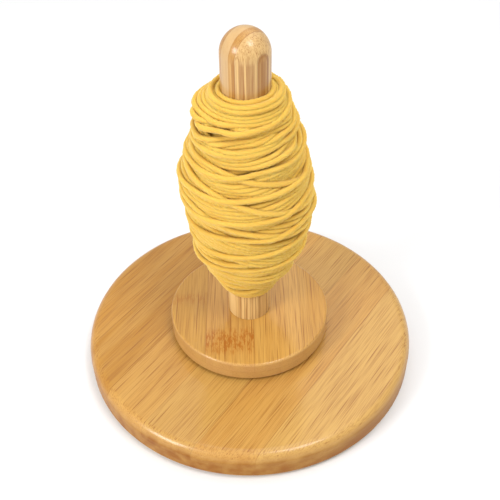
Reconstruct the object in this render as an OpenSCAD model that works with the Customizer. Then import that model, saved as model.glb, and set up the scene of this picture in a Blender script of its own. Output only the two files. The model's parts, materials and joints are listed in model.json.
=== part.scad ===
// Yarn swift for the table top: a bamboo base board, a bamboo turntable that
// spins on a ball bearing sunk in the board, and a bamboo peg with yarn wound on it.
// Millimetres, +Z up. The origin is on the table, on the axis that the peg spins about.

/* [Base board] */
// Diameter of the base board
base_d = 160; // [140:5:200]
// Thickness of the base board
base_t = 15; // [14:0.5:20]
// Radius of the base board's rounded top edge
base_top_round = 5; // [2:0.5:6]
// Radius of the base board's rounded bottom edge
base_bottom_round = 2.5; // [1:0.5:4]
// Diameter of the hole under the board, through which the bolt is reached
access_d = 17; // [15:0.5:18]

/* [Foot pads] */
// Number of foot pads under the board
foot_count = 4; // [3:1:6]
// Diameter of a foot pad
foot_d = 16; // [10:1:20]
// Thickness of a foot pad, which holds the board off the table
foot_t = 1.5; // [1:0.5:3]
// Distance from the axis to the middle of a foot pad
foot_circle_r = 60; // [45:1:65]

/* [Turntable] */
// Diameter of the turntable
turntable_d = 77; // [60:1:100]
// Thickness of the turntable
turntable_t = 10; // [8:0.5:14]
// Radius of the turntable's rounded edges
turntable_round = 1.2; // [0.5:0.1:2]
// Air gap between the base board and the turntable
turntable_gap = 1.5; // [1:0.25:3]
// Depth of the socket that the peg stands in
socket_depth = 2; // [1:0.5:4]

/* [Peg] */
// Diameter of the peg
peg_d = 20; // [18:1:24]
// Height of the peg's domed top above the table
total_h = 174; // [165:1:220]

/* [Yarn] */
// Height of the lowest turn above the table
yarn_low = 43.5; // [40:0.5:46]
// Height of the wound yarn
yarn_h = 105.5; // [90:0.5:108]
// Radius of the wound yarn where it is thickest
yarn_r = 28; // [24:0.5:32]

/* [Bearing] */
// Number of balls
ball_count = 7; // [6:1:7]
// Diameter of a ball
ball_d = 3.97; // [3.9:0.01:4]

/* [Hidden] */
$fn = 96;
eps = 0.5;               // how far a cutting body runs past the face that it cuts
slip = 0.05;             // radial clearance of parts that slide together by hand
foot_top_round = 0.2;
foot_bottom_round = 0.4;
access_chamfer = 0.8;    // at the hole's rim under the board

// The bearing is the common 8 x 22 x 7 size, and the bolt is M8.
bearing_d = 22;
bearing_bore = 8;
bearing_w = 7;
ball_circle_r = 7.5;     // from the axis to the middle of a ball
race_r = 2.05;           // radius of the groove that the balls run in
inner_ring_d = 12.1;     // outside of the inner ring beside its groove
outer_ring_d = 17.9;     // inside of the outer ring beside its groove
ring_chamfer = 0.4;
shield_d = 19;
shield_bore = 12.5;
shield_t = 0.35;
shield_inset = 0.35;     // from the bearing's face to the shield
shield_slack = 0.01;     // between the shield's rim and its seat in the outer ring
shield_dish = 0.25;      // how far the shield's middle is pressed in
shield_lip = 1;          // width of the flat lip round the shield's bore
shield_bend = 0.4;       // width of the slope from the lip up to the flat
cage_d = 15.9;
cage_bore = 14.1;
cage_h = 4.7;
pocket_r = 2.07;         // a ball's pocket in the cage

bolt_length = 40;
bolt_head_d = 14;
bolt_head_h = 4.4;
bolt_dome_r = 8.5;       // radius of the sphere that the head's dome is part of
bolt_face_r = 3.4;       // radius of the flat in the middle of the dome
bolt_hex = 5;            // across the flats of the key's socket
bolt_hex_depth = 2.8;
bolt_tip_chamfer = 0.8;
washer_d = 12;
washer_t = 1.2;
spacer_d = 12;
insert_d = 12;
insert_length = 15;
bolt_room = 2;           // empty bore past the end of the bolt
peg_chamfer = 0.5;       // round the peg's flat end

base_z = foot_t;                              // underside of the base board
base_top = base_z + base_t;
bearing_z = base_top - bearing_w;             // the bearing's lower face
bearing_mid = bearing_z + bearing_w / 2;
turntable_z = base_top + turntable_gap;
turntable_top = turntable_z + turntable_t;
peg_z = turntable_top - socket_depth;         // the peg's flat end, in its socket
peg_dome_z = total_h - peg_d / 2;             // where the dome begins
washer_z = bearing_z - washer_t;              // the bolt's head bears here
bolt_face_z = washer_z - bolt_head_h;
bolt_dome_z = bolt_face_z + sqrt(bolt_dome_r * bolt_dome_r - bolt_face_r * bolt_face_r);
bolt_tip = washer_z + bolt_length;
shaft_hole_d = bearing_bore + 4 * slip;       // the bolt's hole through wood
shield_seat = shield_inset + shield_t;        // depth of the shield's seat

// Stations of the wound yarn's outline, from the lowest turn up:
// [share of the height, share of the way out from the peg to the widest turn].
yarn_outline = [[0, 0.04], [0.09, 0.29], [0.18, 0.58], [0.27, 0.80], [0.41, 0.92],
                [0.52, 1], [0.61, 0.99], [0.69, 0.91], [0.78, 0.71], [0.87, 0.60],
                [0.94, 0.50], [0.98, 0.34], [1, 0.06]];

// A disc whose edges are quarter rounds, standing on Z = 0.
module rounded_disc(d, t, top_round, bottom_round) {
    r = d / 2;
    rotate_extrude() {
        square([r - bottom_round, bottom_round]);
        translate([0, bottom_round]) square([r, t - top_round - bottom_round]);
        translate([0, t - top_round]) square([r - top_round, top_round]);
        translate([r - top_round, t - top_round]) circle(top_round);
        translate([r - bottom_round, bottom_round]) circle(bottom_round);
    }
}

// A ring from bore to outside diameter, standing on Z = 0.
module ring(d, bore, h) {
    difference() {
        cylinder(d = d, h = h);
        translate([0, 0, -eps]) cylinder(d = bore, h = h + 2 * eps);
    }
}

// The profile of a bearing ring with both of its outside or inside corners chamfered.
module ring_profile(r_in, r_out, chamfer_in, chamfer_out) {
    h = bearing_w / 2;
    polygon([[r_in + chamfer_in, -h], [r_out - chamfer_out, -h],
             [r_out, chamfer_out - h], [r_out, h - chamfer_out],
             [r_out - chamfer_out, h], [r_in + chamfer_in, h],
             [r_in, h - chamfer_in], [r_in, chamfer_in - h]]);
}

module at_ball(i) {
    rotate([0, 0, 360 / ball_count * i]) translate([ball_circle_r, 0, bearing_mid]) children();
}

module base_board() color([0.86, 0.67, 0.39]) difference() {
    translate([0, 0, base_z]) rounded_disc(base_d, base_t, base_top_round, base_bottom_round);
    translate([0, 0, bearing_z]) cylinder(d = bearing_d, h = bearing_w + eps);
    translate([0, 0, base_z - eps]) cylinder(d = access_d, h = base_t);
    translate([0, 0, base_z])
        cylinder(d1 = access_d + 2 * access_chamfer, d2 = access_d, h = access_chamfer);
}

module foot_pad(i) color([0.16, 0.15, 0.14])
    rotate([0, 0, 360 / foot_count * (i - 0.5)]) translate([foot_circle_r, 0, 0])
        rounded_disc(foot_d, foot_t, foot_top_round, foot_bottom_round);

module bearing_outer_ring() color([0.66, 0.67, 0.69])
    translate([0, 0, bearing_mid]) rotate_extrude() difference() {
        ring_profile(outer_ring_d / 2, bearing_d / 2, 0, ring_chamfer);
        translate([ball_circle_r, 0]) circle(race_r);
        for (side = [0, 1]) mirror([0, side]) translate([0, bearing_w / 2 - shield_seat])
            square([shield_d / 2, shield_seat + eps]);
    }

module bearing_inner_ring() color([0.66, 0.67, 0.69])
    translate([0, 0, bearing_mid]) rotate_extrude() difference() {
        ring_profile(bearing_bore / 2, inner_ring_d / 2, ring_chamfer, 0);
        translate([ball_circle_r, 0]) circle(race_r);
    }

module bearing_ball(i) color([0.80, 0.81, 0.83]) at_ball(i - 1) sphere(d = ball_d);

module bearing_cage() color([0.55, 0.55, 0.56]) difference() {
    translate([0, 0, bearing_mid - cage_h / 2]) ring(cage_d, cage_bore, cage_h);
    for (i = [1:ball_count]) at_ball(i - 1)
        rotate([0, 90, 0]) cylinder(r = pocket_r, h = cage_d - cage_bore + 2 * eps, center = true);
}

// The shield is a thin ring whose middle is pressed a little inwards.
module bearing_shield(side) color([0.58, 0.59, 0.61])
    translate([0, 0, bearing_mid]) rotate_extrude() {
        far = bearing_w / 2 - shield_inset;
        near = far - shield_t;
        r_in = shield_bore / 2;
        r_lip = r_in + shield_lip;
        r_flat = r_lip + shield_bend;
        r_out = shield_d / 2 - shield_slack;
        outline = [[r_in, near - shield_dish], [r_lip, near - shield_dish], [r_flat, near],
                   [r_out, near], [r_out, far], [r_flat, far],
                   [r_lip, far - shield_dish], [r_in, far - shield_dish]];
        polygon([for (p = outline) [p[0], side * p[1]]]);
    }

module spacer_ring() color([0.78, 0.78, 0.80])
    translate([0, 0, base_top]) ring(spacer_d, bearing_bore + 2 * slip, turntable_gap);

module turntable() color([0.86, 0.66, 0.38]) difference() {
    translate([0, 0, turntable_z])
        rounded_disc(turntable_d, turntable_t, turntable_round, turntable_round);
    translate([0, 0, turntable_z - eps]) cylinder(d = shaft_hole_d, h = turntable_t);
    translate([0, 0, peg_z]) cylinder(d = peg_d + 2 * slip, h = socket_depth + eps);
}

// A button-head bolt with a hexagon socket, its head down and its tip up in the peg.
module axle_bolt() color([0.72, 0.73, 0.75]) {
    r = bearing_bore / 2 - slip;
    difference() {
        union() {
            intersection() {
                translate([0, 0, bolt_face_z]) cylinder(d = bolt_head_d, h = bolt_head_h);
                translate([0, 0, bolt_dome_z]) sphere(bolt_dome_r);
            }
            translate([0, 0, washer_z - eps])
                cylinder(r = r, h = bolt_length - bolt_tip_chamfer + eps);
            translate([0, 0, bolt_tip - bolt_tip_chamfer])
                cylinder(r1 = r, r2 = r - bolt_tip_chamfer, h = bolt_tip_chamfer);
        }
        translate([0, 0, bolt_face_z - eps])
            cylinder(d = bolt_hex / cos(30), h = bolt_hex_depth + eps, $fn = 6);
    }
}

module bolt_washer() color([0.78, 0.78, 0.80])
    translate([0, 0, washer_z]) ring(washer_d, bearing_bore + 2 * slip, washer_t);

module threaded_insert() color([0.80, 0.66, 0.34])
    translate([0, 0, peg_z]) ring(insert_d, bearing_bore, insert_length);

module peg() color([0.85, 0.68, 0.42]) difference() {
    union() {
        translate([0, 0, peg_z])
            cylinder(r1 = peg_d / 2 - peg_chamfer, r2 = peg_d / 2, h = peg_chamfer);
        translate([0, 0, peg_z + peg_chamfer])
            cylinder(d = peg_d, h = peg_dome_z - peg_z - peg_chamfer);
        translate([0, 0, peg_dome_z]) sphere(d = peg_d);
    }
    translate([0, 0, peg_z - eps]) cylinder(d = insert_d, h = insert_length + eps);
    translate([0, 0, peg_z]) cylinder(d = shaft_hole_d, h = bolt_tip + bolt_room - peg_z);
}

// The outer shape of the whole winding, with the peg's bore through it.
module wound_yarn() color([0.96, 0.80, 0.36]) rotate_extrude() {
    bore_r = peg_d / 2 + slip;
    polygon(concat(
        [[bore_r, yarn_low]],
        [for (s = yarn_outline) [bore_r + s[1] * (yarn_r - bore_r), yarn_low + s[0] * yarn_h]],
        [[bore_r, yarn_low + yarn_h]]));
}

base_board();
for (i = [1:foot_count]) foot_pad(i);
bearing_outer_ring();
bearing_inner_ring();
bearing_cage();
for (i = [1:ball_count]) bearing_ball(i);
bearing_shield(1);  // bearing_shield_top
bearing_shield(-1);  // bearing_shield_bottom
spacer_ring();
turntable();
axle_bolt();
bolt_washer();
threaded_insert();
peg();
wound_yarn();
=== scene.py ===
"""Looks for the yarn swift: bamboo board, turntable and peg, steel bearing, and yarn wound round the peg."""

import json
import math

import bpy
import numpy as np
from mathutils import Euler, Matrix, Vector


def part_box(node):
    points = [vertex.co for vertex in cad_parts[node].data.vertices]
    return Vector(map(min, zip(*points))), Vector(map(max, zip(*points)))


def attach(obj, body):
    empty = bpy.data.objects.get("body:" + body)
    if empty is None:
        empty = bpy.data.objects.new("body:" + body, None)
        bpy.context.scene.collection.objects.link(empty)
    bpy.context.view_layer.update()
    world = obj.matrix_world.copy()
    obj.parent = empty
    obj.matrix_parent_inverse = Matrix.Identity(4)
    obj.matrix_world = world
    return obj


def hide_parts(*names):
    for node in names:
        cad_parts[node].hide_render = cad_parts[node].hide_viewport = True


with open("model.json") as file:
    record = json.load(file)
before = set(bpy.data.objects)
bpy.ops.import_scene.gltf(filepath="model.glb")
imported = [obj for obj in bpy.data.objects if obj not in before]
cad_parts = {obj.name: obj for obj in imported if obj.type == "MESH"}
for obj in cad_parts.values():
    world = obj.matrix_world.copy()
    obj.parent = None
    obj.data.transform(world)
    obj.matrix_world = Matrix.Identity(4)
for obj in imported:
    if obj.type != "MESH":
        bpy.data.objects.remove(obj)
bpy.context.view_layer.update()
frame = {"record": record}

TURN = 2 * math.pi
MM = 0.001
scene = bpy.context.scene

# ---------------------------------------------------------------- camera

CAMERA_PLACE = (0, -0.2629, 0.3002)
CAMERA_ANGLES = (48.09, 0.615, -0.712)  # degrees

camera = bpy.data.objects.new("camera", bpy.data.cameras.new("camera"))
scene.collection.objects.link(camera)
camera.location = CAMERA_PLACE
camera.rotation_euler = Euler([math.radians(a) for a in CAMERA_ANGLES], "XYZ")
camera.data.lens = 55.0
camera.data.clip_start = 0.02
camera.data.clip_end = 20
scene.camera = camera
scene.view_settings.view_transform = "Standard"

# ---------------------------------------------------------------- the yarn's winding

STRAND = 2.1 * MM  # the yarn's diameter
CONTACT = 0.74 * STRAND / 2  # its radius where two turns press on each other
CELL = 0.25 * MM  # the surface map's rows
COLUMNS = 180  # and its columns round the peg, which are also the strand's steps in one turn
STEP = TURN / COLUMNS
FOOT = np.arange(-5, 6)  # the rows that a strand covers
BLOCK = COLUMNS // 4  # steps that are laid at a time
AHEAD = COLUMNS // 12  # steps after them that are looked at too
SLIDES = np.linspace(-0.35, 0.35, 7) * STRAND  # the ways aside that a strand may slide
GROOVE = 0.06 * STRAND  # a difference in depth that is enough to draw it aside
GRIP = 0.6 * STRAND  # a slide that friction is enough to stop
EASE = 8  # steps to each side over which its slide is evened out
CHORDS = (5, 3, 2, 1)  # half the lengths, in steps, over which it pulls straight
SOFT = np.array([1, 2, 4, 7, 9, 11, 12, 11, 9, 7, 4, 2, 1]) / 80  # how its stiffness evens it out
REACH = len(SOFT) // 2
KEPT = 10  # laid steps that the next block is joined to
SPARE = 1 * MM  # how far a tilted turn may pass the ends of the part that still lacks yarn
TILTING = 0.7 * COLUMNS  # steps in which the turns take up a new tilt
HOP = 16 * MM  # how far away a run usually starts
CROSSING = 12 * MM  # how far along the heap one turn takes the strand when it changes place
PITCH = (0.73, 0.88)  # the turns' spacing in a run, in strands
FIRST_PITCH = 0.8  # and in the first layer
SAMPLE = 6  # steps between the points at which a plan is tried
WORTH_FILLING = 0.3 * STRAND  # a mean lack of yarn that another run is wound for
MOST_WORTH = 0.9 * STRAND  # the most that a run is credited with at one point
SPILL = 4  # the worst share of a run, in per cent, that tells how far it overfills
SPILL_COST = 0.3
LEVELS = 200  # heights between which the heap's outside is measured
STEEPEST = 3  # the most that a slope adds to that measure
LAST_COLUMN = COLUMNS // 7  # where the strand is led up at last, at the back


class Winding:
    """One strand laid turn by turn round the peg, over a map of the surface that earlier turns have made."""

    def __init__(self, core, low, high, target, seed):
        self.low = low
        self.high = high
        self.rows = int(math.ceil((high - low) / CELL)) + 1
        self.surface = np.full((self.rows, COLUMNS), core)
        angles = np.arange(COLUMNS) * STEP
        heights = low + np.arange(self.rows) * CELL
        self.target = target(heights[:, None], angles[None, :])
        self.random = np.random.default_rng(seed)
        self.height = [low + CONTACT]
        self.radius = [core + CONTACT]
        self.levels = np.linspace(low + CONTACT, high - CONTACT, LEVELS)
        slope = np.gradient(self.target.mean(1), CELL)
        slope = np.interp(self.levels, heights, np.minimum(np.hypot(1, slope), STEEPEST))
        self.places = np.concatenate([[0], np.cumsum(slope[1:] * np.diff(self.levels))])
        self.ends = self.levels[[0, -1]]
        self.count = 0
        self.place = 0.0
        self.tilt = np.zeros(2)
        self.slid = 0.0

    def nearest(self, height):
        """The row of the surface map at this height, which may be past its ends."""
        return np.round((height - self.low) / CELL).astype(int)

    def row(self, height):
        """The nearest row that the surface map has."""
        return np.clip(self.nearest(height), 0, self.rows - 1)

    def bed(self, height, columns):
        """The radius at which the strand's centre rests on the surface."""
        rows = self.nearest(height)[..., None] + FOOT
        across = rows * CELL + self.low - height[..., None]
        rise = CONTACT**2 - across**2
        ground = self.surface[np.clip(rows, 0, self.rows - 1), columns[..., None]]
        return np.where(rise > 0, ground + np.sqrt(np.maximum(rise, 0)), 0).max(-1)

    def slide(self, planned, columns):
        """Lets the strand slip sideways into the grooves beside it."""
        options = planned[:, None] + SLIDES
        high = self.bed(options, np.broadcast_to(columns[:, None], options.shape))
        pull = (high - high.min(1, keepdims=True)) / GROOVE + (SLIDES / GRIP) ** 2
        weight = np.exp(-pull)
        moved = (weight * SLIDES).sum(1) / weight.sum(1)
        padded = np.concatenate([np.full(EASE, self.slid), moved, np.full(EASE, moved[-1])])
        moved = np.convolve(padded, np.ones(2 * EASE + 1) / (2 * EASE + 1), "valid")
        return moved, np.clip(planned + moved, self.low + CONTACT, self.high - CONTACT)

    def tighten(self, bed):
        """Pulls the strand straight over the hollows, where it would not touch the bed."""
        radius = np.concatenate([self.radius[-KEPT:], bed])
        fixed = len(radius) - len(bed)
        for k in CHORDS:
            if len(radius) > 2 * k:
                chord = 2 * math.cos(k * STEP) / (1 / radius[: -2 * k] + 1 / radius[2 * k :])
                radius[k:-k] = np.maximum(radius[k:-k], chord)
                radius[:fixed] = self.radius[-fixed:]
        if fixed < REACH:
            return radius[fixed:]
        return np.convolve(np.pad(radius, (0, REACH), mode="edge"), SOFT, "valid")[fixed - REACH :]

    def press(self, height, radius, columns):
        """Writes the strand into the surface map."""
        slope = np.gradient(np.concatenate([[self.height[-1]], height]))[1:] / (radius * STEP)
        rows = self.nearest(height)[:, None] + FOOT
        across = (rows * CELL + self.low - height[:, None]) / np.sqrt(1 + slope**2)[:, None]
        rise = CONTACT**2 - across**2
        inside = (rise > 0) & (rows >= 0) & (rows < self.rows)
        top = np.where(inside, radius[:, None] + np.sqrt(np.maximum(rise, 0)), 0)
        where = np.clip(rows, 0, self.rows - 1), np.broadcast_to(columns[:, None], rows.shape)
        np.maximum.at(self.surface, where, top)

    def lay(self, plan):
        """Lays the strand at these heights, one for each step of angle from where it is."""
        done = 0
        while done < len(plan):
            part = plan[done : done + BLOCK + AHEAD]
            keep = min(BLOCK, len(part))
            columns = (self.count + 1 + np.arange(len(part))) % COLUMNS
            moved, height = self.slide(part, columns)
            radius = self.tighten(self.bed(height, columns))[:keep]
            height = height[:keep]
            self.press(height, radius, columns[:keep])
            self.height += height.tolist()
            self.radius += radius.tolist()
            self.slid = moved[keep - 1]
            self.count += keep
            done += keep

    def loops(self, places, tilt):
        """Planned heights along a run of places, eased from the present tilt to the next one."""
        levels = np.interp(places, self.places, self.levels)
        ease = np.clip(np.arange(1, len(levels) + 1) / TILTING, 0, 1)
        ease = (ease * ease * (3 - 2 * ease))[:, None]
        tilts = self.tilt + (tilt - self.tilt) * ease
        room = np.maximum(np.minimum(levels - self.ends[0], self.ends[1] - levels), 0) + SPARE
        size = np.maximum(np.linalg.norm(tilts, axis=1), 1e-9)
        tilts = tilts * np.minimum(1, room / size)[:, None]
        angle = (self.count + 1 + np.arange(len(levels))) * STEP
        return levels + tilts[:, 0] * np.cos(angle) + tilts[:, 1] * np.sin(angle)

    def worth(self, heights, under, over):
        """What a run along these heights fills, up to under below the target, less what it overfills."""
        index = np.arange(0, len(heights), SAMPLE)
        rows = self.row(heights[index])
        cols = (self.count + 1 + index) % COLUMNS
        lack = self.target[rows, cols] - self.surface[rows, cols] - under - 0.5 * STRAND
        spill = min(0, np.percentile(lack, SPILL) + over)
        return np.clip(lack, -over, MOST_WORTH).mean() + SPILL_COST * spill

    def lacking(self, under):
        """The lowest and highest place where the heap still lacks yarn, if there are any."""
        lack = (self.target - self.surface).mean(1)[self.row(self.levels)]
        open_now = np.flatnonzero(lack - under > WORTH_FILLING)
        if len(open_now) == 0:
            return None
        self.ends = self.levels[open_now[[0, -1]]]
        return self.places[open_now[[0, -1]]]

    def run(self, bounds, reach, tilt_mean, tilt_spread):
        """One run that a hand might wind next: across to a new place, then a band of turns side by side.

        Places are measured up along the heap's outside, so that the turns lie as close on its slopes."""
        first = np.clip(self.place + self.random.normal(0, HOP), *bounds)
        last = self.random.uniform(max(bounds[0], first - reach), min(bounds[1], first + reach))
        across = max(1, int(abs(first - self.place) / CROSSING * COLUMNS))
        pitch = self.random.uniform(*PITCH) * STRAND
        band = max(COLUMNS // 2, int(abs(last - first) / pitch * COLUMNS))
        there = self.place + (first - self.place) * np.arange(1, across + 1) / across
        along = first + (last - first) * np.arange(1, band + 1) / band
        tilt = tilt_mean + self.random.normal(0, 1, 2) * tilt_spread
        return np.concatenate([there, along]), tilt

    def first_layer(self, foot):
        """Close turns round the bare core, up to the top, and down again to a little above the foot."""
        ends = [0, self.places[-1], np.interp(self.low + foot, self.levels, self.places)]
        for start, end in zip(ends, ends[1:]):
            steps = int(abs(end - start) / (FIRST_PITCH * STRAND) * COLUMNS)
            self.lay(self.loops(np.linspace(start, end, steps + 1)[1:], np.zeros(2)))
            self.place = end

    def wind(self, reach, tilt_mean, tilt_spread, under, over, most=400, tries=80):
        """Winds the best of several runs again and again, until none is worth winding."""
        last = self.count + most * COLUMNS
        while self.count < last:
            bounds = self.lacking(under)
            if bounds is None:
                return
            runs = [self.run(bounds, reach, tilt_mean, tilt_spread) for _ in range(tries)]
            heights = [self.loops(places, tilt) for places, tilt in runs]
            worths = [self.worth(h, under, over) for h in heights]
            best = int(np.argmax(worths))
            if worths[best] < 0:
                return
            self.lay(heights[best])
            self.place = runs[best][0][-1]
            self.tilt = runs[best][1]

    def finish(self, below):
        """Leads the strand up to a little below the top, at the back."""
        end = np.interp(self.high - below, self.levels, self.places)
        steps = int(COLUMNS * (1 + abs(end - self.place) / CROSSING))
        steps += (LAST_COLUMN - self.count - steps) % COLUMNS
        self.lay(self.loops(np.linspace(self.place, end, steps + 1)[1:], np.zeros(2)))


def outline_of(node):
    """Heights and radii of a turned CAD node's outside, from its mesh."""
    mesh = bpy.data.objects[node].data
    points = np.empty(3 * len(mesh.vertices))
    mesh.vertices.foreach_get("co", points)
    points = points.reshape(-1, 3)
    heights = np.round(points[:, 2], 5)
    radii = np.hypot(points[:, 0], points[:, 1])
    levels = np.unique(heights)
    return levels, np.array([radii[heights == z].max() for z in levels])


yarn_z, yarn_r = outline_of("wound_yarn")
yarn_low, yarn_high = yarn_z[0], yarn_z[-1]
peg_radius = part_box("peg")[1][0]
CORE = peg_radius + CONTACT  # where the strand's centre lies on the bare peg

HEAP_TILT = np.array([1.2, 1.5]) * MM  # how much higher the top of the heap is on its +X and +Y sides
LEAN_Z = np.array([44, 90, 117, 131, 145, 150]) * MM
LEAN_X = np.array([0, 1.0, -1.3, -0.3, -1.4, 0]) * MM  # how far the heap leans to +X at those heights
SHOULDER_Z = np.array([120, 132, 140, 146, 150]) * MM
SHOULDER_X = np.array([0, -0.8, 1.0, 2.5, 2.5]) * MM  # how much further it reaches out to -X at those heights
TILT = np.array([1.2, 2.5]) * MM  # the turns' mean tilt towards +X and +Y


def heap(height, angle):
    """The outside of the winding that the turns build up to."""
    part = np.clip((height - yarn_low) / (yarn_high - yarn_low), 0, 1)
    tilt = HEAP_TILT[0] * np.cos(angle) + HEAP_TILT[1] * np.sin(angle)
    radius = np.interp(height - part * tilt, yarn_z, yarn_r)
    return radius - 0.2 * STRAND + np.interp(height, LEAN_Z, LEAN_X) * np.cos(angle)


winding = Winding(peg_radius, yarn_low, yarn_high + 1 * MM, heap, seed=14)
winding.first_layer(5 * MM)
for under in (3, 1.5, 0):
    winding.wind(60 * MM, TILT, np.array([3.5, 4.0]) * MM, under * STRAND, over=1.2 * STRAND)
winding.wind(8 * MM, TILT, np.array([2.5, 2.5]) * MM, 0, over=0.8 * STRAND, most=60)
winding.finish(4 * MM)

# ---------------------------------------------------------------- the winding's outside and its crown

CROWN_FROM = 118 * MM  # above this the winding is fitted to its crown
CROWN = np.array([147.0, 0.3, 0.3]) * MM  # its top turns' height at the axis, and the rise to +X and +Y
CROWN_FILL = 2.0 * MM  # the strand is left this much higher than that, against the peg
CROWN_TURNS = 12  # the most turns that close it
CROWN_GAPS = np.arange(0, 5, 0.5) * MM  # the distances from the peg at which such a turn may lie
CROWN_INWARD = 0.15  # how strongly a turn nearer the peg is preferred
CROWN_EASE = 0.3 * COLUMNS  # steps in which the strand moves in or out to its next turn's radius
LEAST = 0.5 * MM  # the least depth of yarn that a squeeze is worked out from
SQUEEZE = (0.75, 1.3)  # the limits of a squeeze
BROAD = (12, 6)  # rows and columns of detail that a squeeze leaves alone


def crown(angle):
    """The height of the crown's top turns at this angle."""
    return CROWN[0] + CROWN[1] * np.cos(angle) + CROWN[2] * np.sin(angle)


def even(field, rows, columns):
    """The field with its detail smaller than this many rows and columns smoothed away."""
    for axis, spread, mode in ((0, rows, "edge"), (1, columns, "wrap")):
        offsets = np.arange(-2 * spread, 2 * spread + 1)
        weight = np.exp(-0.5 * (offsets / spread) ** 2)
        pad = [(0, 0), (0, 0)]
        pad[axis] = (2 * spread, 2 * spread)
        padded = np.pad(field, pad, mode=mode)
        field = np.apply_along_axis(np.convolve, axis, padded, weight / weight.sum(), "valid")
    return field


def settle(wound):
    """The strand's radii and heights, once the winding is squeezed gently to the heap's outside and crown."""
    shoulder = np.interp(wound.low + np.arange(wound.rows) * CELL, SHOULDER_Z, SHOULDER_X)
    left = np.maximum(-np.cos(np.arange(COLUMNS) * STEP), 0)
    room = np.maximum(even(wound.target + shoulder[:, None] * left, *BROAD) - CORE, LEAST)
    heaped = np.maximum(even(wound.surface, *BROAD) - CORE, LEAST)
    squeeze = np.clip(room / heaped, *SQUEEZE)
    height = np.array(wound.height)
    cols = np.arange(len(height)) % COLUMNS
    radius = CORE + (np.array(wound.radius) - CORE) * squeeze[wound.row(height), cols]
    shrink = (crown(np.arange(len(height)) * STEP) - CROWN_FROM) / (wound.high - CONTACT - CROWN_FROM)
    height = height - np.maximum(height - CROWN_FROM, 0) * (1 - shrink)
    return radius, height


def rest(pile, at):
    """The height at which the strand comes to rest at this radius on the strands below it."""
    reach = 4 * CONTACT**2
    return max([z + math.sqrt(reach - (r - at) ** 2) for r, z in pile if (r - at) ** 2 < reach], default=0)


def turn_height(piles, count, at):
    """How high over the crown's top a turn at this radius would lie, with a little added further out."""
    steps = np.arange(count, count + COLUMNS, SAMPLE)
    rests = [rest(piles[step % COLUMNS], at) for step in steps]
    return np.mean(rests - crown(steps * STEP)) + CROWN_INWARD * (at - CORE)


def close(radius, height):
    """Fills the crown's hollow with more turns, each where it lies lowest, in against the peg."""
    columns = np.arange(len(radius)) % COLUMNS
    upper = height > CROWN_FROM
    piles = [np.stack([radius, height], 1)[upper & (columns == c)].tolist() for c in range(COLUMNS)]
    count = len(radius)
    at = radius[-1]
    tail = []
    for _ in range(CROWN_TURNS):
        high, place = min((turn_height(piles, count, CORE + gap), CORE + gap) for gap in CROWN_GAPS)
        if high > CROWN_FILL:
            break
        for step in range(COLUMNS):
            here = place + (at - place) * 0.5 * (1 + math.cos(math.pi * min(1, step / CROWN_EASE)))
            pile = piles[count % COLUMNS]
            tail.append([here, rest(pile, here)])
            pile.append(tail[-1])
            count += 1
        at = place
    return np.concatenate([np.stack([radius, height], 1), tail]).T


def points_along(radius, height):
    """The strand's points, a step of angle apart, evened out by its own stiffness."""
    softer = np.convolve(SOFT, SOFT)
    radius, height = [np.pad(values, 2 * REACH, mode="edge") for values in (radius, height)]
    radius, height = [np.convolve(values, softer, "valid") for values in (radius, height)]
    angle = np.arange(len(radius)) * STEP
    return np.stack([radius * np.cos(angle), radius * np.sin(angle), height], 1)


line = points_along(*close(*settle(winding)))

# ---------------------------------------------------------------- the yarn's mesh

LEAD = 13 * MM  # one turn of the plies
FINE = 1.25 * MM  # between the rings of the mesh where the strand shows
COARSE = 4.4 * MM  # and where it is buried
BURIED = 0.75 * STRAND  # a depth at which it is out of sight
AROUND = 8 * MM  # it is still drawn finely this far into a buried stretch
LOBES = np.array([1.28, 1.21] * 3) * STRAND / 2  # a ring's corners: three plies and the grooves between them
FLAT = (0.97, 1.03)  # the strand lies a little flatter than it is wide
END = 0.3 * STRAND  # its radius at its two ends


def cover(wound):
    """How deep each point of the strand lies under the finished surface."""
    rows = wound.nearest(np.array(wound.height))
    cols = np.arange(len(rows)) % COLUMNS
    around = [wound.surface[np.clip(rows + d, 0, wound.rows - 1), cols] for d in (-6, -3, 0, 3, 6)]
    return np.min(around, axis=0) - np.array(wound.radius)


def rings(points, depth):
    """Points along the line, close together where the strand shows and further apart where it is buried."""
    step = np.linalg.norm(np.diff(points, axis=0), axis=1)
    along = np.concatenate([[0], np.cumsum(step)])
    spread = int(AROUND / step.mean())
    shown = np.convolve(depth < BURIED, np.ones(2 * spread + 1), "same") > 0.5
    spacing = np.where(shown, FINE, COARSE)
    marks = np.concatenate([[0], np.cumsum(step / spacing[1:])])
    at = np.interp(np.arange(int(marks[-1]) + 1), marks, along)
    twist = np.concatenate([[0], np.cumsum(step * shown[1:])]) * TURN / LEAD
    centres = np.stack([np.interp(at, along, points[:, i]) for i in range(3)], 1)
    return centres, at, np.interp(at, along, twist)


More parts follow.
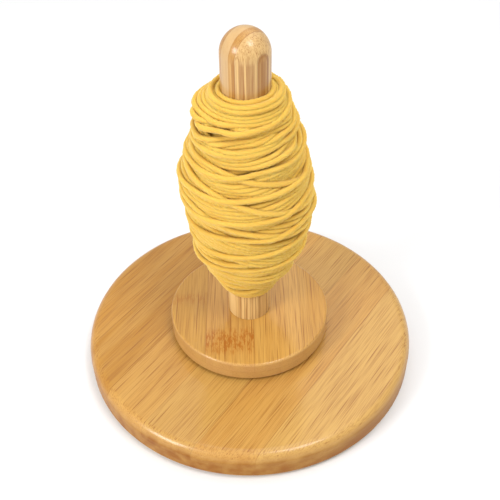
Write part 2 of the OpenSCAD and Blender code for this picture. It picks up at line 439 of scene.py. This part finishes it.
def tube(name, centres, at, twist):
    """A closed tube of lobed rings round the centres, with the strand's own coordinates as its UV map."""
    tangent = np.gradient(centres, axis=0)
    tangent /= np.linalg.norm(tangent, axis=1, keepdims=True)
    out = centres * (1, 1, 0)
    out -= (out * tangent).sum(1, keepdims=True) * tangent
    out /= np.linalg.norm(out, axis=1, keepdims=True)
    side = np.cross(tangent, out)
    count, corners = len(centres), len(LOBES)
    angle = twist[:, None] + np.arange(corners) * TURN / corners
    outward = np.cos(angle)[..., None] * out[:, None] * FLAT[0]
    sideways = np.sin(angle)[..., None] * side[:, None] * FLAT[1]
    ring = outward + sideways
    points = centres[:, None] + ring * LOBES[None, :, None]
    points[0] = centres[0] + ring[0] * END
    points[-1] = centres[-1] + ring[-1] * END

    i, j = [x.ravel() for x in np.meshgrid(np.arange(count - 1), np.arange(corners), indexing="ij")]
    here, after = i * corners, (j + 1) % corners
    quads = np.stack([here + j, here + after, here + corners + after, here + corners + j], 1)
    caps = [list(range(corners))[::-1], list(range((count - 1) * corners, count * corners))]
    u = np.stack([at[i], at[i], at[i + 1], at[i + 1]], 1)
    v = np.stack([j, j + 1, j + 1, j], 1) / corners

    mesh = bpy.data.meshes.new(name)
    mesh.from_pydata(points.reshape(-1, 3).tolist(), [], quads.tolist() + caps)
    strand = mesh.uv_layers.new(name="strand")
    flat = np.zeros((len(mesh.loops), 2))
    flat[: u.size, 0] = u.ravel() / LEAD
    flat[: v.size, 1] = v.ravel()
    strand.data.foreach_set("uv", flat.ravel())
    mesh.shade_smooth()
    mesh.update()
    obj = bpy.data.objects.new(name, mesh)
    scene.collection.objects.link(obj)
    return obj


buried = cover(winding)
centres, at, twist = rings(line, np.pad(buried, (0, len(line) - len(buried))))
yarn = tube("yarn_strand", centres, at, twist)
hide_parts("wound_yarn")
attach(yarn, "spindle")

# ---------------------------------------------------------------- materials


def linear(red, green, blue, alpha=1):
    """A display colour, 0 to 255, as the linear values that the shaders take."""
    parts = [c / 255 for c in (red, green, blue)]
    return tuple(c / 12.92 if c < 0.04045 else ((c + 0.055) / 1.055) ** 2.4 for c in parts) + (alpha,)


class Paint:
    """A procedural material, with short ways to make the nodes it needs."""

    def __init__(self, name, roughness, metallic=0.0):
        self.material = bpy.data.materials.new(name)
        self.material.use_nodes = True
        self.tree = self.material.node_tree
        self.shader = self.tree.nodes["Principled BSDF"]
        self.shade({"Roughness": roughness, "Metallic": metallic})

    def shade(self, values):
        """Sets even values on the shader itself."""
        for name, value in values.items():
            self.shader.inputs[name].default_value = value

    def node(self, kind, *values, **settings):
        """A new node, with its settings and a value or link for each of its first inputs."""
        made = self.tree.nodes.new("ShaderNode" + kind)
        for name, value in settings.items():
            setattr(made, name, value)
        for socket, value in zip(made.inputs, values):
            self.put(socket, value)
        return made

    def put(self, socket, value):
        """Links an output to the socket, or sets it to a plain value."""
        if isinstance(value, bpy.types.NodeSocket):
            self.tree.links.new(value, socket)
        elif value is not None:
            socket.default_value = value

    def maths(self, operation, *values):
        return self.node("Math", *values, operation=operation).outputs[0]

    def away(self, value, middle):
        """How far a value is from a middle one."""
        return self.maths("ABSOLUTE", self.maths("SUBTRACT", value, middle))

    def ramp(self, value, *stops, interpolation="LINEAR", alpha=False):
        """A colour ramp through stops, each a position with a grey or a colour."""
        made = self.node("ValToRGB", value)
        ramp = made.color_ramp
        ramp.interpolation = interpolation
        while len(ramp.elements) < len(stops):
            ramp.elements.new(0.5)
        for element, (position, colour) in zip(ramp.elements, stops):
            element.position = position
            element.color = colour if hasattr(colour, "__len__") else (colour, colour, colour, 1)
        return tuple(made.outputs) if alpha else made.outputs[0]

    def noise(self, vector, scale, detail=2.0, roughness=0.5):
        made = self.node("TexNoise")
        values = {"Vector": vector, "Scale": scale, "Detail": detail, "Roughness": roughness}
        for name, value in values.items():
            self.put(made.inputs[name], value)
        return made.outputs["Fac"]

    def cells(self, vector, scale):
        made = self.node("TexVoronoi")
        self.put(made.inputs["Vector"], vector)
        self.put(made.inputs["Scale"], scale)
        return made.outputs["Distance"]

    def mix(self, amount, first, second):
        made = self.node("Mix", data_type="RGBA")
        first_colour, second_colour = made.inputs[6:8]
        self.put(made.inputs["Factor"], amount)
        self.put(first_colour, first)
        self.put(second_colour, second)
        return made.outputs[2]

    def coordinates(self, kind="Object"):
        return self.node("TexCoord").outputs[kind]

    def parts_of(self, vector):
        return self.node("SeparateXYZ", vector).outputs

    def stretched(self, point, sizes):
        """The point, in cells of these sizes in mm."""
        parts = [self.maths("DIVIDE", part, size * MM) for part, size in zip(point, sizes)]
        return self.node("CombineXYZ", *parts).outputs[0]

    def bump(self, height, strength, distance):
        made = self.node("Bump")
        self.put(made.inputs["Strength"], strength)
        self.put(made.inputs["Distance"], distance)
        self.put(made.inputs["Height"], height)
        self.put(self.shader.inputs["Normal"], made.outputs[0])

    def colour(self, value):
        self.put(self.shader.inputs["Base Color"], value)


def yarn_paint():
    """Three plies with fibres along the strand, and painted shade in the grooves between the plies, in a
    deeper colour.
    """
    paint = Paint("yarn", 0.85)
    along, around = paint.parts_of(paint.node("UVMap", uv_map="strand").outputs[0])[:2]
    spin = paint.maths("MULTIPLY", paint.maths("ADD", along, around), TURN)
    fibre_point = paint.node(
        "CombineXYZ",
        paint.maths("MULTIPLY", paint.maths("COSINE", spin), 3),
        paint.maths("MULTIPLY", paint.maths("SINE", spin), 3),
        paint.maths("MULTIPLY", along, 2.2),
    ).outputs[0]
    fibres = paint.noise(fibre_point, 2.2, 4, 0.65)
    groove = paint.maths("ABSOLUTE", paint.maths("SINE", paint.maths("MULTIPLY", around, TURN * 1.5)))
    ply = paint.ramp(groove, (0, 0.0), (0.55, 0.85), (1, 1.0))
    patches = paint.noise(paint.coordinates(), 60, 2)
    base, bright, deep = linear(212, 171, 75), linear(217, 180, 85), linear(211, 156, 62)
    tone = paint.mix(paint.ramp(patches, (0.3, 0.0), (0.7, 1.0)), base, bright)
    # painted shade: the grooves between the plies are drawn in the deeper colour
    tone = paint.mix(paint.ramp(groove, (0, 0.35), (0.5, 0.0)), tone, deep)
    tone = paint.mix(paint.ramp(fibres, (0.35, 0.35), (0.55, 0.0)), tone, deep)
    paint.colour(tone)
    height = paint.maths("ADD", paint.maths("MULTIPLY", ply, 0.5), paint.maths("MULTIPLY", fibres, 0.5))
    paint.bump(height, 0.6, 0.25 * MM)
    paint.shade({"Specular IOR Level": 0.2, "Subsurface Weight": 0.8, "Subsurface Scale": 1.0 * MM})
    paint.shade({"Subsurface Radius": (1.0, 0.9, 0.7), "Sheen Weight": 0.25, "Sheen Roughness": 0.5})
    paint.shade({"Sheen Tint": linear(255, 226, 150)})
    return paint.material


yarn.data.materials.append(yarn_paint())

GLUE_LINE = 0.22 * MM  # half the width of a joint between two strips
SEAM = 0.2 * MM  # and of the joint between two layers
BROWN = linear(138, 84, 30)  # the bamboo's fibres


class Bamboo(Paint):
    """Laminated bamboo, solid through the piece: strips across, layers up, fibres along."""

    def __init__(self, name, grain, upright=False):
        """grain is the direction of the strips' joints seen from above, in degrees from +X."""
        super().__init__(name, 0.42)
        turned = self.node("VectorRotate", self.coordinates(), rotation_type="Z_AXIS")
        self.put(turned.inputs["Angle"], math.radians(90 - grain))
        across, level, up = self.parts_of(turned.outputs[0])
        self.across, self.along, self.up = (across, up, level) if upright else (across, level, up)

    def fine_noise(self, sizes, detail, roughness=0.5, across=None):
        """Noise with cells of these sizes in mm: across, up and along the fibres."""
        across = self.across if across is None else across
        return self.noise(self.stretched((across, self.up, self.along), sizes), 1, detail, roughness)

    def knuckles(self, places):
        """A mask of the stalk's knuckles.

        Each has its limits across, its place along and its half length, all in mm, and its strength."""
        drift = self.maths("MULTIPLY", self.maths("SUBTRACT", self.fine_noise((1.2, 6, 9), 2), 0.5), 9 * MM)
        along = self.maths("ADD", self.along, drift)
        mask = 0.0
        for low, high, place, half, strength in places:
            away = self.maths("DIVIDE", self.away(along, place * MM), half * MM)
            near = self.maths("MULTIPLY", self.maths("SUBTRACT", 1.0, away), strength)
            after_low = self.maths("GREATER_THAN", self.across, low * MM)
            before_high = self.maths("LESS_THAN", self.across, high * MM)
            inside = self.maths("MULTIPLY", after_low, before_high)
            mask = self.maths("MAXIMUM", mask, self.maths("MULTIPLY", near, inside))
        return mask

    def strips(self, joints, tones, width):
        """The tone of each strip and the thin glue lines; joints are places across, in mm as the width is.

        A tone's alpha is how much of the fibres shows."""
        place = self.maths("ADD", self.maths("DIVIDE", self.across, width * MM), 0.5)
        starts = [0] + [joint / width + 0.5 for joint in joints]
        tone, self.fibres = self.ramp(place, *zip(starts, tones), interpolation="CONSTANT", alpha=True)
        glue = 1.0
        for joint in joints:
            gap = self.maths("DIVIDE", self.away(self.across, joint * MM), GLUE_LINE)
            glue = self.maths("MINIMUM", glue, gap)
        return tone, glue

    def layers(self, middle, width, upper, under):
        """Two layers of strips, glued at the middle height; each has its own joints and tones."""
        upper_tone, upper_glue = self.strips(*upper, width)
        under_tone, under_glue = self.strips(*under, width)
        below = self.maths("LESS_THAN", self.up, middle)
        glue = self.mix(below, upper_glue, under_glue)
        seam = self.maths("DIVIDE", self.away(self.up, middle), SEAM)
        return self.mix(below, upper_tone, under_tone), self.maths("MINIMUM", glue, seam)

    def sand(self):
        """Lets fewer fibres show on the turned sides; gives a mask of 1 on level faces, 0 on upright ones."""
        level = self.maths("ABSOLUTE", self.parts_of(self.coordinates("Normal"))[2])
        self.fibres = self.maths("MULTIPLY", self.fibres, self.ramp(level, (0.3, 0.3), (0.9, 1.0)))
        return level

    def sides(self, tone, block):
        """Deepens the tone on the turned sides, with less gloss: a darker end grain all over them, and
        painted shade that grows towards their foot.

        block is the strip with the darkest end grain: its middle and half width across, and its foot."""
        level = self.sand()
        self.put(self.shader.inputs["Coat Weight"], self.ramp(level, (0.15, 0.05), (0.45, 0.4)))
        self.put(self.shader.inputs["Specular IOR Level"], self.ramp(level, (0.15, 0.1), (0.45, 0.3)))
        middle, half, foot = block
        # painted shade: the sides darken more towards the board's foot, on top of the end grain's own darker
        # tone
        low = self.ramp(self.maths("DIVIDE", self.up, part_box("base_board")[1][2]), (0.1, 1.0), (0.85, 0.65))
        within = self.maths("SUBTRACT", half, self.away(self.across, middle))
        above = self.maths("SUBTRACT", self.up, foot)
        inside = self.maths("GREATER_THAN", self.maths("MINIMUM", within, above), 0)
        deep = self.maths("MAXIMUM", low, inside)
        amount = self.maths("MULTIPLY", deep, self.ramp(level, (0.1, 1.0), (0.8, 0.0)))
        return self.mix(amount, tone, linear(138, 82, 22))

    def stain(self, colour, amount, second):
        """The colour, drawn towards the second one by the amount, where fibres show."""
        return self.mix(self.maths("MULTIPLY", self.fibres, amount), colour, second)

    def finish(self, tone, glue, knuckles=None, pale=linear(202, 160, 86), fine=1.0, columns=None):
        """Fibres, broad drifts of tone, knuckles, glue lines and a satin lacquer over the strips' tones."""
        sway = self.maths("SUBTRACT", self.fine_noise((9, 9, 60), 1), 0.5)
        across = self.maths("ADD", self.across, self.maths("MULTIPLY", sway, 1.5 * MM))
        bundles = self.cells(self.stretched((across, self.up, self.along), (1.25 * fine, 1.25 * fine, 42)), 1)
        threads = self.fine_noise((0.5, 0.5, 26), 3, 0.6, across)
        drift = self.fine_noise((5, 5, 70), 2, across=across)
        colour = self.mix(self.ramp(drift, (0.35, 0.0), (0.7, 0.35)), tone, pale)
        colour = self.stain(colour, self.ramp(threads, (0.36, 0.5), (0.54, 0.0)), BROWN)
        if columns is not None:
            grown = self.fine_noise((1.0, 1.0, 400), 1, across=across)
            dark = self.maths("MULTIPLY", columns, self.ramp(grown, (0.44, 1.0), (0.5, 0.0)))
            light = self.maths("MULTIPLY", columns, self.ramp(grown, (0.54, 0.0), (0.6, 1.0)))
            colour = self.stain(colour, dark, BROWN)
            colour = self.stain(colour, light, pale)
        colour = self.stain(colour, self.ramp(bundles, (0.1, 0.8), (0.27, 0.0)), BROWN)
        if knuckles is not None:
            squiggle = self.ramp(self.fine_noise((1.0, 3, 3.6), 3, 0.7), (0.42, 1.0), (0.56, 0.15))
            marks = self.maths("MULTIPLY", self.ramp(knuckles, (0, 0.0), (0.5, 1.0)), squiggle)
            colour = self.mix(self.maths("MULTIPLY", marks, 0.8), colour, linear(160, 88, 14))
        colour = self.stain(colour, self.ramp(glue, (0.3, 0.55), (1, 0.0)), linear(128, 78, 32))
        self.colour(colour)
        self.bump(self.maths("ADD", threads, bundles), 0.12, 0.15 * MM)
        self.shade({"Specular IOR Level": 0.3, "Coat Weight": 0.4, "Coat Roughness": 0.16})
        return self.material


def board_paint():
    """Two layers of wide strips at a slant, with one dark block in the upper layer's end grain."""
    paint = Bamboo("bamboo_board", grain=54.5)
    shades = (176, 123, 45), (170, 118, 40), (186, 138, 64), (184, 140, 68), (185, 136, 64), (190, 148, 78)
    tones = [linear(*shade) for shade in shades]
    upper = (-54.5, -29, -3.5, 22, 47.5), tones
    under = (-66, -41, -16, 10, 35, 60), tones[2:] + tones[1:4]
    middle = 9 * MM
    tone, glue = paint.layers(middle, 170, upper, under)
    return paint.finish(paint.sides(tone, (9.2 * MM, 12.7 * MM, middle)), glue)


def turntable_paint():
    """Two layers of wide strips, with the marks of two knuckles and paler sides."""
    paint = Bamboo("bamboo_turntable", grain=90)
    tones = [linear(*shade) for shade in ((186, 138, 60), (193, 144, 70), (194, 145, 68), (184, 134, 52))]
    upper = (-20.8, 2, 24.8), tones
    under = (-31, -8.5, 14, 36), tones[1:] + tones[:2]
    tone, glue = paint.layers(23 * MM, 90, upper, under)
    tone = paint.mix(paint.ramp(paint.sand(), (0.3, 0.55), (0.9, 0.0)), tone, linear(182, 140, 92))
    knuckles = paint.knuckles([(-20.8, 2, -23.5, 8.5, 1.0), (-40, -20.8, 5, 5, 0.28)])
    return paint.finish(tone, glue, knuckles)


def peg_paint():
    """Narrow strips, pale and brown by turns; the widest pale one crosses the dome without fibre dots.
    Painted light makes the foot below the yarn paler.
    """
    paint = Bamboo("bamboo_peg", grain=42, upright=True)
    dark, amber = linear(154, 102, 34, 0.8), linear(170, 122, 55, 0.8)
    pale, cream = linear(189, 153, 103, 0.2), linear(196, 160, 104, 1)
    strips = {-7.1: amber, -3.3: pale, 1.3: amber, 3.9: cream, 9.7: dark}
    tone, glue = paint.strips(list(strips), [dark, *strips.values()], 22)
    # painted light: the peg's foot below the yarn, where the yarn shades it, is drawn paler
    foot = paint.ramp(paint.maths("DIVIDE", paint.along, yarn_low), (0.95, 0.6), (1.05, 0.0))
    tone = paint.mix(foot, tone, linear(246, 208, 140))
    dome = paint.maths("DIVIDE", paint.along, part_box("peg")[1][2])
    columns = paint.ramp(dome, (0.938, 0.42), (0.945, 0.08))
    return paint.finish(tone, glue, pale=linear(212, 172, 108), fine=0.62, columns=columns)


def steel_paint(name, dark, light, roughness, ring):
    """A metal with turning marks, whose spacing in mm is ring, or plainly mottled where ring is None."""
    paint = Paint(name, roughness, metallic=1.0)
    point = paint.coordinates()
    if ring:
        x, y, z = paint.parts_of(point)
        squares = [paint.maths("POWER", x, 2.0), paint.maths("POWER", y, 2.0)]
        radius = paint.maths("SQRT", paint.maths("ADD", *squares))
        marks = paint.noise(paint.stretched((radius, z, 0.0), [ring] * 3), 1, 3)
    else:
        marks = paint.noise(point, 900, 3)
    paint.colour(paint.ramp(marks, (0.3, linear(*dark)), (0.7, linear(*light))))
    uneven = paint.ramp(marks, (0.3, roughness * 0.8), (0.7, roughness * 1.2))
    paint.put(paint.shader.inputs["Roughness"], uneven)
    paint.bump(marks, 0.05, 0.02 * MM)
    return paint.material


def rubber_paint():
    """Matt black rubber with a fine grain."""
    paint = Paint("rubber_pad", 0.8)
    grain = paint.noise(paint.coordinates(), 1500, 2)
    paint.colour(paint.ramp(grain, (0.3, linear(30, 30, 31)), (0.7, linear(44, 44, 45))))
    paint.bump(grain, 0.3, 0.05 * MM)
    return paint.material


def wear(node, material):
    """Gives a CAD node this material alone."""
    mesh = bpy.data.objects[node].data
    mesh.materials.clear()
    mesh.materials.append(material)


# Each metal's darker and lighter tone, roughness and spacing of turning marks
METALS = {
    "bearing_steel": ((196, 198, 202), (222, 224, 228), 0.22, 0.12),
    "ball_steel": ((224, 226, 230), (238, 239, 242), 0.08, None),
    "shield_steel": ((180, 181, 184), (204, 205, 208), 0.34, 0.2),
    "cage_steel": ((178, 178, 180), (204, 204, 206), 0.38, None),
    "zinc_steel": ((206, 209, 214), (232, 234, 238), 0.28, 0.3),
    "brass": ((206, 170, 96), (228, 196, 120), 0.3, 0.2),
}

paints = {"bamboo_board": board_paint(), "bamboo_turntable": turntable_paint(), "bamboo_peg": peg_paint()}
paints.update({name: steel_paint(name, *look) for name, look in METALS.items()})
paints["rubber_pad"] = rubber_paint()
for part in frame["record"]["subparts"]:
    if part["material_slot"] in paints:
        wear(part["node"], paints[part["material_slot"]])

# ---------------------------------------------------------------- floor and lights

OBJECT_MIDDLE = Vector((0, 0, 0.07))
FLOOR_HALF = 6


def softbox(name, azimuth, elevation, distance, size, power):
    """A square area light that looks at the object's middle; azimuth is from +X, anticlockwise."""
    light = bpy.data.lights.new(name, "AREA")
    light.size = size
    light.energy = power
    obj = bpy.data.objects.new(name, light)
    a, e = math.radians(azimuth), math.radians(elevation)
    way = Vector((math.cos(a) * math.cos(e), math.sin(a) * math.cos(e), math.sin(e)))
    obj.location = OBJECT_MIDDLE + way * distance
    obj.rotation_euler = way.to_track_quat("Z", "Y").to_euler()
    scene.collection.objects.link(obj)


softbox("key_left_front", -142, 30, 0.9, 0.30, 5.2)
softbox("key_right_front", -48, 62, 0.9, 0.30, 3.4)
softbox("back_right", 60, 65, 1.0, 0.90, 2.8)

world = bpy.data.worlds.new("studio")
world.use_nodes = True
background = world.node_tree.nodes["Background"]
background.inputs["Color"].default_value = (1, 1, 1, 1)
background.inputs["Strength"].default_value = 0.78
scene.world = world

floor_mesh = bpy.data.meshes.new("floor")
corners = [(x * FLOOR_HALF, y * FLOOR_HALF, 0) for x, y in ((-1, -1), (1, -1), (1, 1), (-1, 1))]
floor_mesh.from_pydata(corners, [], [(0, 1, 2, 3)])
floor = bpy.data.objects.new("floor", floor_mesh)
scene.collection.objects.link(floor)
floor_paint = Paint("floor", 0.7)
floor_paint.colour(floor_paint.ramp(floor_paint.noise(floor_paint.coordinates(), 8), (0, 0.77), (1, 0.79)))
floor_mesh.materials.append(floor_paint.material)
